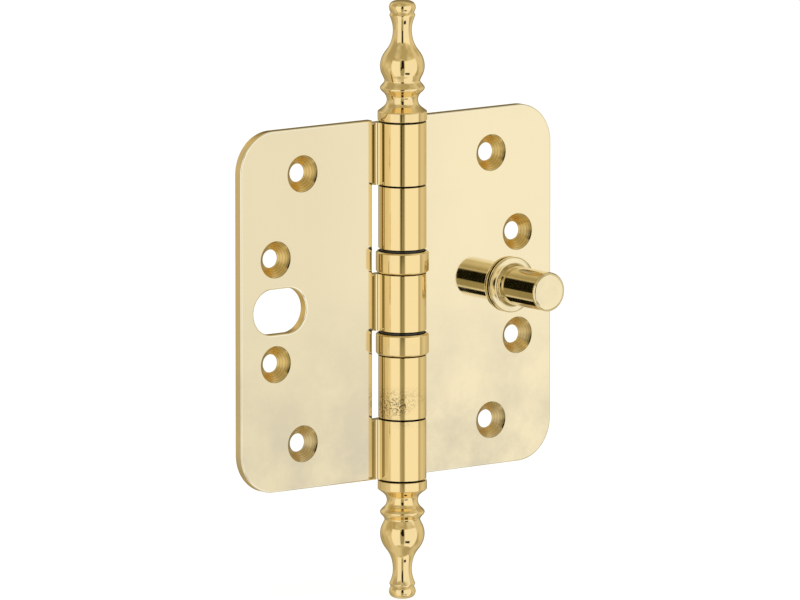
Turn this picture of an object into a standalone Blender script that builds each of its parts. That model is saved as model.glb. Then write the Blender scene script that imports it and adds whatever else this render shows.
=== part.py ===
"""Ball-bearing door hinge in polished brass, modelled open and flat.

The pin stands on the Z axis, with the origin at mid height of the leaves. The frame leaf lies
towards -X and the door leaf towards +X, and their countersunk faces look towards -Y. Three
knuckles belong to the frame leaf and two to the door leaf, with a ball bearing above and below
the middle one. A security stud on the door leaf enters an oval hole in the frame leaf when the
hinge is shut.
"""

import math

import bmesh
import bpy

MM = 0.001

# Leaves
HINGE_HEIGHT = 89.0 * MM
LEAF_REACH = 47.7 * MM  # pin axis to the leaf's outer edge
LEAF_THICKNESS = 2.6 * MM
LEAF_SETBACK = 2.0 * MM  # countersunk face behind the pin axis, so a shut hinge has a gap of twice this
CORNER_RADIUS = 10.0 * MM

# Barrel: the knuckles, stacked on the pin
KNUCKLE_RADIUS = 5.9 * MM
ROOT_FILLET = 1.0 * MM
TOP_KNUCKLE = 15.3 * MM
BOTTOM_KNUCKLE = 14.85 * MM
MIDDLE_KNUCKLE = 14.0 * MM
KNUCKLE_GAP = 0.4 * MM
END_PLAY = 0.65 * MM  # the stack stops this far below the leaf's top edge
NOTCH_CLEARANCE = 1.65 * MM  # between a barrel and the other leaf's notch

# Pin and finials
PIN_RADIUS = 3.3 * MM
PIN_CLEARANCE = 0.15 * MM
SPIGOT_RADIUS = 2.0 * MM
SPIGOT_LENGTH = 9.0 * MM
FINIAL_PROUD = 0.15 * MM  # the finial's base stands this far past the barrel
FINIAL_BASE = 2.15 * MM
FINIAL_SEAM = 0.4 * MM

# Ball bearings
BEARING_SPACE = 6.3 * MM  # between the knuckles above and below
BEARING_PLAY = 0.75 * MM  # open seam above the sleeve
SLEEVE_PROUD = 0.6 * MM
SLEEVE_WALL = 0.7 * MM
SLEEVE_CHAMFER = 0.35 * MM
RACE_CLEARANCE = 0.2 * MM
BALL_COUNT = 12
BALL_SIDE_GAP = 0.25 * MM
BALL_SPACING = 0.3 * MM
ROLLING_GAP = 0.15 * MM
RACE_OPENING = 0.85  # distance between the races, in ball diameters

# Screw holes, four in each leaf
COUNTERSINK_RADIUS = 4.55 * MM
SCREW_HOLE_RADIUS = 2.25 * MM
END_SCREW_INSET = 18.7 * MM  # from the leaf's outer edge
END_SCREW_DROP = 11.2 * MM  # from the leaf's end
MIDDLE_SCREW_INSET = 10.5 * MM
SCREW_WEB = 2.8 * MM  # metal between a middle screw hole and the oval hole

# Security stud and the oval hole it enters
STUD_INSET = 12.9 * MM
STUD_RADIUS = 4.85 * MM
STUD_LENGTH = 16.2 * MM  # from the leaf's face to the tip
STUD_TIP_ROUND = 0.9 * MM
COLLAR_RADIUS = 6.9 * MM
COLLAR_THICKNESS = 1.3 * MM
COLLAR_FILLET = 0.8 * MM
RIVET_RADIUS = 3.0 * MM
RIVET_HEAD_RADIUS = 4.0 * MM
RIVET_HEAD_DEPTH = 1.0 * MM
OVAL_SIDE_CLEARANCE = 0.7 * MM
OVAL_INNER_CLEARANCE = 2.05 * MM
OVAL_SWING_CLEARANCE = 1.6 * MM

# Fits and fineness
SEAT_GAP = 0.3 * MM
WELD_DISTANCE = 0.001 * MM
CUT_OVERRUN = 2.0 * MM
TURN_STEPS = 24
ARC_STEP = math.radians(11.25)

# Sizes that follow from the ones above
LEAF_FRONT = LEAF_SETBACK
LEAF_BACK = LEAF_SETBACK + LEAF_THICKNESS
HALF_HEIGHT = HINGE_HEIGHT / 2
NOTCH_EDGE = KNUCKLE_RADIUS + NOTCH_CLEARANCE
DOOR_KNUCKLE = (HINGE_HEIGHT - END_PLAY - TOP_KNUCKLE - BOTTOM_KNUCKLE - MIDDLE_KNUCKLE
                - 2 * BEARING_SPACE - 2 * KNUCKLE_GAP) / 2
BARREL_TOP = HALF_HEIGHT - END_PLAY
BARREL_BOTTOM = -HALF_HEIGHT
SLEEVE_RADIUS = KNUCKLE_RADIUS + SLEEVE_PROUD
SLEEVE_BORE = SLEEVE_RADIUS - SLEEVE_WALL
BALL_PITCH = (SLEEVE_BORE - SEAT_GAP + PIN_RADIUS + RACE_CLEARANCE) / 2
BALL_RADIUS = min((SLEEVE_BORE - PIN_RADIUS) / 2 - BALL_SIDE_GAP,
                  BALL_PITCH * math.sin(math.pi / BALL_COUNT) - BALL_SPACING / 2)
STUD_REACH = LEAF_REACH - STUD_INSET
STUD_SWING = math.hypot(STUD_REACH + STUD_RADIUS, STUD_LENGTH - LEAF_SETBACK)
OVAL_INNER = STUD_REACH - STUD_RADIUS - OVAL_INNER_CLEARANCE
OVAL_OUTER = STUD_SWING + OVAL_SWING_CLEARANCE
OVAL_HALF_HEIGHT = STUD_RADIUS + OVAL_SIDE_CLEARANCE
MIDDLE_SCREW_HEIGHT = OVAL_HALF_HEIGHT + SCREW_WEB + COUNTERSINK_RADIUS

FACING_FRONT = (math.radians(90), 0, 0)  # turns a shape's own +Z to -Y, and its own +Y to +Z
FACING_BACK = (math.radians(-90), 0, 0)


# ---------------------------------------------------------------- scene and materials

def clear_scene():
    for old in list(bpy.data.objects):
        bpy.data.objects.remove(old, do_unlink=True)


def new_collection(name):
    collection = bpy.data.collections.new(name)
    bpy.context.scene.collection.children.link(collection)
    return collection


def metal(name, colour, roughness):
    material = bpy.data.materials.new(name)
    material.use_nodes = True
    shader = material.node_tree.nodes["Principled BSDF"]
    shader.inputs["Base Color"].default_value = (*colour, 1.0)
    shader.inputs["Roughness"].default_value = roughness
    shader.inputs["Metallic"].default_value = 1.0
    return material


def brass(name):
    return metal(name, (0.89, 0.72, 0.38), 0.08)


def steel(name):
    return metal(name, (0.62, 0.62, 0.63), 0.2)


# ---------------------------------------------------------------- outlines and profiles

def arc(centre, radius, start, end):
    """Points along an arc, both ends included; the angles are in radians and may run either way."""
    steps = max(1, math.ceil(abs(end - start) / ARC_STEP - 1e-6))
    angles = [start + (end - start) * i / steps for i in range(steps + 1)]
    return [(centre[0] + radius * math.cos(a), centre[1] + radius * math.sin(a)) for a in angles]


def smooth_through(points, steps):
    """A Catmull-Rom curve through the points, with this many steps between each pair."""
    ends = [points[0]] + list(points) + [points[-1]]
    curve = [points[0]]
    for before, start, end, after in zip(ends, ends[1:], ends[2:], ends[3:]):
        for i in range(1, steps + 1):
            t = i / steps
            curve.append(tuple(
                0.5 * (2 * b + (c - a) * t + (2 * a - 5 * b + 4 * c - d) * t ** 2
                       + (3 * b - a - 3 * c + d) * t ** 3)
                for a, b, c, d in zip(before, start, end, after)))
    return curve


def bar_outline(side):
    """Cross-section of a drawn leaf before it is cut: the barrel, its two root fillets and the plate."""
    spread = KNUCKLE_RADIUS + ROOT_FILLET
    front = (-math.sqrt(spread ** 2 - (LEAF_FRONT - ROOT_FILLET) ** 2), LEAF_FRONT - ROOT_FILLET)
    back = (-math.sqrt(spread ** 2 - (LEAF_BACK + ROOT_FILLET) ** 2), LEAF_BACK + ROOT_FILLET)
    front_angle = math.atan2(front[1], front[0]) % math.tau
    back_angle = math.atan2(back[1], back[0]) % math.tau
    points = [(-LEAF_REACH - CUT_OVERRUN, LEAF_FRONT)]
    points += arc(front, ROOT_FILLET, math.radians(90), front_angle - math.pi)
    points += arc((0, 0), KNUCKLE_RADIUS, front_angle, back_angle + math.tau)[1:-1]
    points += arc(back, ROOT_FILLET, back_angle - math.pi, math.radians(-90))
    points += [(-LEAF_REACH - CUT_OVERRUN, LEAF_BACK)]
    return [(-side * x, y) for x, y in points]


def comb_outline(side, knuckles):
    """Face outline of a leaf: two rounded outer corners, and a tab for each of its knuckles."""
    corner = (LEAF_REACH - CORNER_RADIUS, HALF_HEIGHT - CORNER_RADIUS)
    points = arc((corner[0], -corner[1]), CORNER_RADIUS, math.radians(-90), 0)
    points += arc(corner, CORNER_RADIUS, 0, math.radians(90))
    points.append((NOTCH_EDGE, HALF_HEIGHT))
    far_side = -KNUCKLE_RADIUS - CUT_OVERRUN
    for low, high in sorted(knuckles, reverse=True):
        points += [(NOTCH_EDGE, high), (far_side, high), (far_side, low), (NOTCH_EDGE, low)]
    points.append((NOTCH_EDGE, -HALF_HEIGHT))
    distinct = [p for p, q in zip(points, points[1:] + points[:1]) if math.dist(p, q) > WELD_DISTANCE]
    return [(side * x, z) for x, z in distinct]


def oval_outline(inner, outer, half_height):
    left, right = inner + half_height, outer - half_height
    return (arc((right, 0), half_height, math.radians(-90), math.radians(90))
            + arc((left, 0), half_height, math.radians(90), math.radians(270)))


def finial_profile():
    """The turned finial as (radius, height above its seat), from the tip down to the seat."""
    base_radius = KNUCKLE_RADIUS + FINIAL_PROUD
    cove = [(base_radius, FINIAL_BASE), (5.15 * MM, 2.9 * MM), (4.4 * MM, 3.55 * MM), (4.0 * MM, 4.15 * MM),
            (3.82 * MM, 5.0 * MM), (3.97 * MM, 5.85 * MM), (4.42 * MM, 6.6 * MM), (5.0 * MM, 7.15 * MM),
            (5.45 * MM, 7.7 * MM)]
    ring = [(5.45 * MM, 8.25 * MM), (4.9 * MM, 8.9 * MM), (4.3 * MM, 9.9 * MM)]
    vase = [ring[-1], (4.75 * MM, 10.75 * MM), (5.15 * MM, 11.6 * MM), (5.42 * MM, 12.6 * MM),
            (5.46 * MM, 13.7 * MM), (5.27 * MM, 14.8 * MM), (4.85 * MM, 15.9 * MM), (4.2 * MM, 16.95 * MM),
            (3.5 * MM, 17.9 * MM), (2.95 * MM, 18.95 * MM), (2.56 * MM, 20.2 * MM), (2.33 * MM, 21.9 * MM),
            (2.42 * MM, 23.4 * MM), (2.75 * MM, 24.7 * MM), (3.18 * MM, 25.8 * MM)]
    button = [(2.85 * MM, 26.55 * MM), (3.18 * MM, 27.2 * MM), (3.28 * MM, 27.85 * MM), (3.12 * MM, 28.45 * MM),
              (2.75 * MM, 29.0 * MM), (1.9 * MM, 29.55 * MM)]
    upwards = [(base_radius, 0)] + smooth_through(cove, 1) + ring[:-1] + smooth_through(vase, 1) + button
    socket_radius = SPIGOT_RADIUS + SEAT_GAP
    socket_depth = SPIGOT_LENGTH + SEAT_GAP
    socket = [(socket_radius, 0), (socket_radius, socket_depth), (0, socket_depth)]
    return [(0, button[-1][1])] + upwards[::-1] + socket


# ---------------------------------------------------------------- building solids

def place(name, mesh, collection, location=(0, 0, 0), rotation=(0, 0, 0), parent=None):
    piece = bpy.data.objects.new(name, mesh)
    piece.location = location
    piece.rotation_euler = rotation
    piece.parent = parent
    collection.objects.link(piece)
    return piece


def finish(piece, material):
    """Gives a piece its metal and smooth round faces, with its edges kept sharp."""
    piece.data.materials.clear()
    piece.data.materials.append(material)
    piece.data.shade_smooth()
    piece.data.set_sharp_from_angle(angle=math.radians(35))


def turned(name, profile, collection, closed=False, **placing):
    """A solid turned about its own Z axis; the profile runs from the top down its outer side."""
    mesh = bpy.data.meshes.new(name)
    edges = [(i, i + 1) for i in range(len(profile) - 1)]
    if closed:
        edges.append((len(profile) - 1, 0))
    mesh.from_pydata([(radius, 0, height) for radius, height in profile], edges, [])
    piece = place(name, mesh, collection, **placing)
    screw = piece.modifiers.new("turn", "SCREW")
    screw.axis = "Z"
    screw.angle = math.tau
    screw.steps = TURN_STEPS
    screw.render_steps = TURN_STEPS
    screw.use_merge_vertices = True
    screw.merge_threshold = WELD_DISTANCE
    screw.use_smooth_shade = True
    return piece


def prism(name, outline, low, high, collection, rotation=(0, 0, 0)):
    """A flat outline made solid between two heights along its own Z axis."""
    curve = bpy.data.curves.new(name, "CURVE")
    curve.dimensions = "2D"
    curve.fill_mode = "BOTH"
    curve.extrude = (high - low) / 2
    spline = curve.splines.new("POLY")
    spline.points.add(len(outline) - 1)
    for point, (x, y) in zip(spline.points, outline):
        point.co = (x, y, 0, 1)
    spline.use_cyclic_u = True
    guide = place(name + "_outline", curve, collection, rotation=rotation)
    bpy.context.view_layer.update()
    mesh = bpy.data.meshes.new_from_object(guide.evaluated_get(bpy.context.evaluated_depsgraph_get()))
    solid = bmesh.new()
    solid.from_mesh(mesh)
    bmesh.ops.remove_doubles(solid, verts=solid.verts, dist=WELD_DISTANCE)
    bmesh.ops.translate(solid, verts=solid.verts, vec=(0, 0, (low + high) / 2))
    bmesh.ops.recalc_face_normals(solid, faces=solid.faces)
    solid.to_mesh(mesh)
    solid.free()
    piece = place(name, mesh, collection)
    piece.matrix_world = guide.matrix_world
    bpy.data.objects.remove(guide, do_unlink=True)
    return piece


def boolean(piece, tool, operation="DIFFERENCE"):
    tool.hide_render = True
    tool.display_type = "WIRE"
    modifier = piece.modifiers.new(tool.name, "BOOLEAN")
    modifier.operation = operation
    modifier.solver = "EXACT"
    modifier.object = tool


# ---------------------------------------------------------------- pieces

def barrel_stack():
    """Lowest and highest Z of each space along the pin, from the bottom up."""
    rows = (("bottom_knuckle", BOTTOM_KNUCKLE), (None, KNUCKLE_GAP), ("lower_door_knuckle", DOOR_KNUCKLE),
            ("bearing_2", BEARING_SPACE), ("middle_knuckle", MIDDLE_KNUCKLE), ("bearing_1", BEARING_SPACE),
            ("upper_door_knuckle", DOOR_KNUCKLE), (None, KNUCKLE_GAP), ("top_knuckle", TOP_KNUCKLE))
    spans = {}
    height = BARREL_BOTTOM
    for name, length in rows:
        if name:
            spans[name] = (height, height + length)
        height += length
    return spans


def screw_places(side):
    end_reach = LEAF_REACH - END_SCREW_INSET
    end_height = HALF_HEIGHT - END_SCREW_DROP
    middle_reach = LEAF_REACH - MIDDLE_SCREW_INSET
    for up in (1, -1):
        yield (side * end_reach, LEAF_FRONT, up * end_height)
        yield (side * middle_reach, LEAF_FRONT, up * MIDDLE_SCREW_HEIGHT)


def screw_hole(name, location, cutters):
    sink_depth = COUNTERSINK_RADIUS - SCREW_HOLE_RADIUS
    bottom = -(max(LEAF_THICKNESS, sink_depth) + CUT_OVERRUN)
    profile = [(0, CUT_OVERRUN), (COUNTERSINK_RADIUS + CUT_OVERRUN, CUT_OVERRUN),
               (SCREW_HOLE_RADIUS, -sink_depth), (SCREW_HOLE_RADIUS, bottom), (0, bottom)]
    return turned(name, profile, cutters, location=location, rotation=FACING_FRONT)


def leaf(name, side, knuckles, parts, cutters):
    """A leaf and its knuckles, cut from one length of drawn brass bar."""
    half_bar = HALF_HEIGHT + CUT_OVERRUN
    piece = prism(name, bar_outline(side), -half_bar, half_bar, parts)
    depth = KNUCKLE_RADIUS + LEAF_BACK + CUT_OVERRUN
    comb = prism(name + "_comb", comb_outline(side, knuckles), -depth, depth, cutters, FACING_FRONT)
    boolean(piece, comb, "INTERSECT")
    bore_radius = PIN_RADIUS + PIN_CLEARANCE
    bore_end = half_bar + CUT_OVERRUN
    bore_profile = [(0, bore_end), (bore_radius, bore_end), (bore_radius, -bore_end), (0, -bore_end)]
    boolean(piece, turned(name + "_bore", bore_profile, cutters))
    for number, location in enumerate(screw_places(side), 1):
        boolean(piece, screw_hole(f"{name}_screw_hole_{number}", location, cutters))
    finish(piece, brass(name))
    return piece


def cut_oval_hole(frame_leaf, cutters):
    outline = [(-x, z) for x, z in oval_outline(OVAL_INNER, OVAL_OUTER, OVAL_HALF_HEIGHT)]
    hole = prism("oval_hole", outline, -LEAF_BACK - CUT_OVERRUN, CUT_OVERRUN, cutters, FACING_FRONT)
    boolean(frame_leaf, hole)


def cut_rivet_hole(door_leaf, cutters):
    """The hole that the stud's tail fills, with a countersink at the back for its spread head."""
    radius = RIVET_RADIUS + SEAT_GAP
    head = RIVET_HEAD_RADIUS + SEAT_GAP
    slope = (head - radius) / RIVET_HEAD_DEPTH
    profile = [(0, CUT_OVERRUN), (head + slope * CUT_OVERRUN, CUT_OVERRUN), (radius, -RIVET_HEAD_DEPTH),
               (radius, -LEAF_THICKNESS - CUT_OVERRUN), (0, -LEAF_THICKNESS - CUT_OVERRUN)]
    location = (STUD_REACH, LEAF_BACK, 0)
    hole = turned("rivet_hole", profile, cutters, location=location, rotation=FACING_BACK)
    boolean(door_leaf, hole)


def security_stud(parts, door_axis):
    """Collar, stud and riveted tail in one turning, standing on the door leaf's face."""
    tip = arc((STUD_RADIUS - STUD_TIP_ROUND, STUD_LENGTH - STUD_TIP_ROUND), STUD_TIP_ROUND,
              math.radians(90), 0)
    fillet = arc((STUD_RADIUS + COLLAR_FILLET, COLLAR_THICKNESS + COLLAR_FILLET), COLLAR_FILLET,
                 math.radians(180), math.radians(270))
    tail_end = -(LEAF_THICKNESS - SEAT_GAP)
    head_start = tail_end + RIVET_HEAD_DEPTH - SEAT_GAP
    profile = ([(0, STUD_LENGTH)] + tip + fillet
               + [(COLLAR_RADIUS, COLLAR_THICKNESS), (COLLAR_RADIUS, SEAT_GAP), (RIVET_RADIUS, SEAT_GAP),
                  (RIVET_RADIUS, head_start), (RIVET_HEAD_RADIUS - SEAT_GAP, tail_end), (0, tail_end)])
    piece = turned("security_stud", profile, parts, location=(STUD_REACH, LEAF_FRONT, 0),
                   rotation=FACING_FRONT, parent=door_axis)
    finish(piece, brass(piece.name))


def hinge_pin(parts):
    top, bottom = BARREL_TOP, BARREL_BOTTOM
    profile = [(0, top + SPIGOT_LENGTH), (SPIGOT_RADIUS, top + SPIGOT_LENGTH), (SPIGOT_RADIUS, top),
               (PIN_RADIUS, top), (PIN_RADIUS, bottom), (SPIGOT_RADIUS, bottom),
               (SPIGOT_RADIUS, bottom - SPIGOT_LENGTH), (0, bottom - SPIGOT_LENGTH)]
    finish(turned("hinge_pin", profile, parts), steel("hinge_pin"))


def finials(parts):
    top = turned("top_finial", finial_profile(), parts, location=(0, 0, BARREL_TOP + FINIAL_SEAM))
    bottom = turned("bottom_finial", finial_profile(), parts, location=(0, 0, BARREL_BOTTOM - FINIAL_SEAM),
                    rotation=(math.radians(180), 0, 0))
    for piece in (top, bottom):
        finish(piece, brass(piece.name))


def race_profile(half_opening, thickness):
    """A bearing race as (radius, height), with its ball groove on top, centred on the ball plane."""
    inner = PIN_RADIUS + RACE_CLEARANCE
    outer = SLEEVE_BORE - SEAT_GAP
    groove_radius = BALL_RADIUS + ROLLING_GAP
    edge = math.asin(half_opening / groove_radius)
    groove = arc((BALL_PITCH, 0), groove_radius, math.pi + edge, math.tau - edge)
    return ([(inner, -half_opening)] + groove
            + [(outer, -half_opening), (outer, -half_opening - thickness), (inner, -half_opening - thickness)])


def ball_bearing(name, span, upper_parent, lower_parent, ball_axis, parts):
    """Sleeve, two races and a full ring of balls; the sleeve and lower race rest on the knuckle below."""
    low, high = span
    sleeve_height = high - low - SEAT_GAP - BEARING_PLAY
    sleeve_profile = [(SLEEVE_BORE, sleeve_height), (SLEEVE_RADIUS - SLEEVE_CHAMFER, sleeve_height),
                      (SLEEVE_RADIUS, sleeve_height - SLEEVE_CHAMFER), (SLEEVE_RADIUS, SLEEVE_CHAMFER),
                      (SLEEVE_RADIUS - SLEEVE_CHAMFER, 0), (SLEEVE_BORE, 0)]
    sleeve = turned(name + "_sleeve", sleeve_profile, parts, closed=True, location=(0, 0, low + SEAT_GAP),
                    parent=lower_parent)
    finish(sleeve, brass(sleeve.name))

    middle = (low + high) / 2
    half_opening = RACE_OPENING * BALL_RADIUS
    thickness = (high - low) / 2 - SEAT_GAP - half_opening
    for race, turn, parent in (("lower", 0, lower_parent), ("upper", math.radians(180), upper_parent)):
        piece = turned(f"{name}_{race}_race", race_profile(half_opening, thickness), parts, closed=True,
                       location=(0, 0, middle), rotation=(turn, 0, 0), parent=parent)
        finish(piece, steel(piece.name))

    ball = bpy.data.meshes.new(name + "_ball")
    shape = bmesh.new()
    bmesh.ops.create_uvsphere(shape, u_segments=10, v_segments=6, radius=BALL_RADIUS)
    shape.to_mesh(ball)
    shape.free()
    ball_steel = steel(ball.name)
    for number in range(1, BALL_COUNT + 1):
        angle = math.tau * number / BALL_COUNT
        location = (BALL_PITCH * math.cos(angle), BALL_PITCH * math.sin(angle), middle)
        finish(place(f"{name}_ball_{number}", ball, parts, location, parent=ball_axis), ball_steel)


def pin_axis(name, collection):
    """An empty on the pin axis, which carries the pieces that turn together."""
    return place(name, None, collection)


def main():
    clear_scene()
    parts = new_collection("ball_bearing_door_hinge")
    cutters = new_collection("cutters")
    spans = barrel_stack()

    frame_knuckles = [spans["bottom_knuckle"], spans["middle_knuckle"], spans["top_knuckle"]]
    frame_leaf = leaf("frame_leaf", -1, frame_knuckles, parts, cutters)
    cut_oval_hole(frame_leaf, cutters)

    door_axis = pin_axis("door_axis", parts)
    door_knuckles = [spans["lower_door_knuckle"], spans["upper_door_knuckle"]]
    door_leaf = leaf("door_leaf", 1, door_knuckles, parts, cutters)
    door_leaf.parent = door_axis
    cut_rivet_hole(door_leaf, cutters)
    security_stud(parts, door_axis)

    hinge_pin(parts)
    finials(parts)
    for name, above, below in (("bearing_1", door_axis, None), ("bearing_2", None, door_axis)):
        ball_axis = pin_axis(name + "_ball_axis", parts)
        ball_bearing(name, spans[name], above, below, ball_axis, parts)


main()
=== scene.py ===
"""A polished brass ball-bearing door hinge, open flat, on a white studio floor.

The leaves, finials, bearing sleeves and security stud are modelled finely here; the pin and the
bearings' inner pieces keep their working shapes and get their steel here.
Everything is in metres. The pin runs up Z, the door leaf lies towards +X, and the countersunk faces
look to -Y.
"""
import math

import bpy
from mathutils import Matrix, Vector


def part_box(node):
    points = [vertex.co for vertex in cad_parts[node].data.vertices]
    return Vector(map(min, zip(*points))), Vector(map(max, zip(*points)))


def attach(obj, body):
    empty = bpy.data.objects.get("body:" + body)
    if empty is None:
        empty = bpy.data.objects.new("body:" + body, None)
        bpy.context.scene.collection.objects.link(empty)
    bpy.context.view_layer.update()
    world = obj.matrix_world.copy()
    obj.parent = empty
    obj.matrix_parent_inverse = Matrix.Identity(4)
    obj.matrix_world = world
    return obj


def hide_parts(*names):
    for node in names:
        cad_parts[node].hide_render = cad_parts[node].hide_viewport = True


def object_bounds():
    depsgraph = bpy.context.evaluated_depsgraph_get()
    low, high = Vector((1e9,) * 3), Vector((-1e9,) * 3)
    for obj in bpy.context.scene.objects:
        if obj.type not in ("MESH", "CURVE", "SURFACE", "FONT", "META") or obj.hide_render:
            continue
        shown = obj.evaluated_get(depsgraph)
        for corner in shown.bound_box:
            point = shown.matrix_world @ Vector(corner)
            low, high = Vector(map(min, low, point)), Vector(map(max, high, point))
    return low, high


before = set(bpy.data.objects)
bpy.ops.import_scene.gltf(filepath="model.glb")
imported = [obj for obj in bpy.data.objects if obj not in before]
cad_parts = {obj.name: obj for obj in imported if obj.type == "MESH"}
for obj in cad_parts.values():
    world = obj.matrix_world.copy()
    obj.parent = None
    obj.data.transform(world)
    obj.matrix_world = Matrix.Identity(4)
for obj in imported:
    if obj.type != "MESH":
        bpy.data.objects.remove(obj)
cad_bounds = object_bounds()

MM = 0.001
QUARTER = math.radians(90)
HALF = math.radians(180)
FULL = math.radians(360)
UP = Vector((0, 0, 1))
OUT_FRONT = Vector((0, -1, 0))

# ---------------------------------------------------------------- sizes

LEAF_THICKNESS = 2.6 * MM
CORNER_RADIUS = 10 * MM
KNUCKLE_RADIUS = 5.9 * MM
ROOT_FILLET = 1.0 * MM
NOTCH_CLEARANCE = 1.65 * MM
TOP_KNUCKLE = 15.3 * MM
BOTTOM_KNUCKLE = 14.85 * MM
KNUCKLE_GAP = 0.4 * MM
SPIGOT_LENGTH = 9 * MM
PIN_BORE = 3.45 * MM
SEAT_GAP = 0.3 * MM
BEARING_PLAY = 0.75 * MM

COUNTERSINK_RADIUS = 4.55 * MM
SCREW_HOLE_RADIUS = 2.25 * MM
END_SCREW_INSET = 18.7 * MM
END_SCREW_DROP = 11.2 * MM
MIDDLE_SCREW_INSET = 10.5 * MM
MIDDLE_SCREW_HEIGHT = 12.9 * MM
TOOL_RING_PITCH = 0.5 * MM
TOOL_RING_DEPTH = 0.02 * MM
RIM_LIP = 0.1 * MM

OVAL_INNER = 27.9 * MM
OVAL_OUTER = 43.73 * MM
OVAL_HALF_HEIGHT = 5.55 * MM
OVAL_RIM = 0.5 * MM

STUD_RADIUS = 4.85 * MM
STUD_LENGTH = 16.2 * MM
STUD_TIP_ROUND = 0.9 * MM
COLLAR_RADIUS = 6.9 * MM
COLLAR_THICKNESS = 1.3 * MM
COLLAR_FILLET = 0.8 * MM
COLLAR_EDGE = 0.18 * MM
RIVET_RADIUS = 3.0 * MM
RIVET_HEAD_RADIUS = 4.0 * MM
RIVET_HEAD_DEPTH = 1.0 * MM

SLEEVE_RADIUS = 6.5 * MM
SLEEVE_WALL = 0.7 * MM
SLEEVE_CHAMFER = 0.35 * MM
SLEEVE_EDGE = 0.08 * MM

LEAF_EDGE = 0.42 * MM
KNUCKLE_EDGE = 0.12 * MM

BARREL_STEP = math.radians(2.8125)
FILLET_STEP = math.radians(7.5)
CORNER_SEGMENTS = 36
HOLE_STEPS = 96
TURN_STEPS = 144
EDGE_STEPS = 3
ROUND_STEPS = 8
KNUCKLE_EDGE_STEPS = 2
SHARP = math.radians(30)
ROUND = math.radians(32)
FLAT_FACE_WEIGHT = 100
WELD = 0.002 * MM
OVERRUN = 2 * MM

# ---------------------------------------------------------------- places, from the frame

frame_leaf_low, frame_leaf_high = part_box("frame_leaf")
pin_low, pin_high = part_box("hinge_pin")
upper_sleeve_low, upper_sleeve_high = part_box("bearing_1_sleeve")
lower_sleeve_low, lower_sleeve_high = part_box("bearing_2_sleeve")
stud_low, stud_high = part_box("security_stud")

TOP_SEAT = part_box("top_finial")[0].z
BOTTOM_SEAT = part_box("bottom_finial")[1].z
LEAF_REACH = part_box("door_leaf")[1].x
HALF_HEIGHT = frame_leaf_high.z
LEAF_FRONT = stud_low.y + STUD_LENGTH
LEAF_BACK = LEAF_FRONT + LEAF_THICKNESS
NOTCH_EDGE = KNUCKLE_RADIUS + NOTCH_CLEARANCE
BARREL_TOP = pin_high.z - SPIGOT_LENGTH
BARREL_BOTTOM = pin_low.z + SPIGOT_LENGTH
STUD_X = (stud_low.x + stud_high.x) / 2

TOP_KNUCKLE_LOW = BARREL_TOP - TOP_KNUCKLE
BOTTOM_KNUCKLE_HIGH = BARREL_BOTTOM + BOTTOM_KNUCKLE
UPPER_DOOR_KNUCKLE = (upper_sleeve_high.z + BEARING_PLAY, TOP_KNUCKLE_LOW - KNUCKLE_GAP)
LOWER_DOOR_KNUCKLE = (BOTTOM_KNUCKLE_HIGH + KNUCKLE_GAP, lower_sleeve_low.z - SEAT_GAP)
MIDDLE_KNUCKLE = (lower_sleeve_high.z + BEARING_PLAY, upper_sleeve_low.z - SEAT_GAP)


# ---------------------------------------------------------------- drawing and turning

def deselect_everything():
    bpy.ops.object.select_all(action="DESELECT")


def work_on(piece):
    deselect_everything()
    bpy.context.view_layer.objects.active = piece
    piece.select_set(True)


class Pen:
    """Draws a line in edit mode from vertex to vertex: straight stretches are extruded, arcs spun."""

    def __init__(self, name, point):
        deselect_everything()
        bpy.ops.mesh.primitive_plane_add(size=MM, location=(0, 0, 0))
        self.piece = bpy.context.object
        self.piece.name = name
        self.at = Vector(point)
        bpy.ops.object.mode_set(mode="EDIT")
        bpy.ops.mesh.select_all(action="SELECT")
        bpy.ops.mesh.merge(type="CENTER")
        bpy.ops.transform.translate(value=self.at)

    def line(self, point):
        step = Vector(point) - self.at
        bpy.ops.mesh.extrude_vertices_move(TRANSFORM_OT_translate={"value": step})
        self.at = Vector(point)

    def lines(self, points):
        for point in points:
            self.line(point)

    def arc(self, centre, angle, axis, step):
        steps = max(1, round(abs(angle) / step))
        bpy.ops.mesh.spin(steps=steps, angle=-angle, center=centre, axis=axis)
        centre = Vector(centre)
        self.at = centre + Matrix.Rotation(angle, 3, axis) @ (self.at - centre)

    def close_and_fill(self):
        bpy.ops.mesh.select_all(action="SELECT")
        bpy.ops.mesh.remove_doubles(threshold=WELD)
        bpy.ops.mesh.edge_face_add()

    def lift(self):
        bpy.ops.object.mode_set(mode="OBJECT")
        return self.piece


def point_normals_out():
    bpy.ops.mesh.select_all(action="SELECT")
    bpy.ops.mesh.remove_doubles(threshold=WELD)
    bpy.ops.mesh.normals_make_consistent(inside=False)


def smooth_through(points, steps):
    """A smooth curve through the points, with this many steps between each pair."""
    ends = [points[0]] + list(points) + [points[-1]]
    curve = [points[0]]
    for before, start, end, after in zip(ends, ends[1:], ends[2:], ends[3:]):
        for i in range(1, steps + 1):
            t = i / steps
            curve.append(tuple(
                0.5 * (2 * b + (c - a) * t + (2 * a - 5 * b + 4 * c - d) * t ** 2
                       + (3 * b - a - 3 * c + d) * t ** 3)
                for a, b, c, d in zip(before, start, end, after)))
    return curve


def rounded_step(centre, radius, start, end, steps):
    """Points of a small round edge on a turned profile, as (radius, height)."""
    angles = [start + (end - start) * i / steps for i in range(steps + 1)]
    return [(centre[0] + radius * math.cos(a), centre[1] + radius * math.sin(a)) for a in angles]


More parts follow.
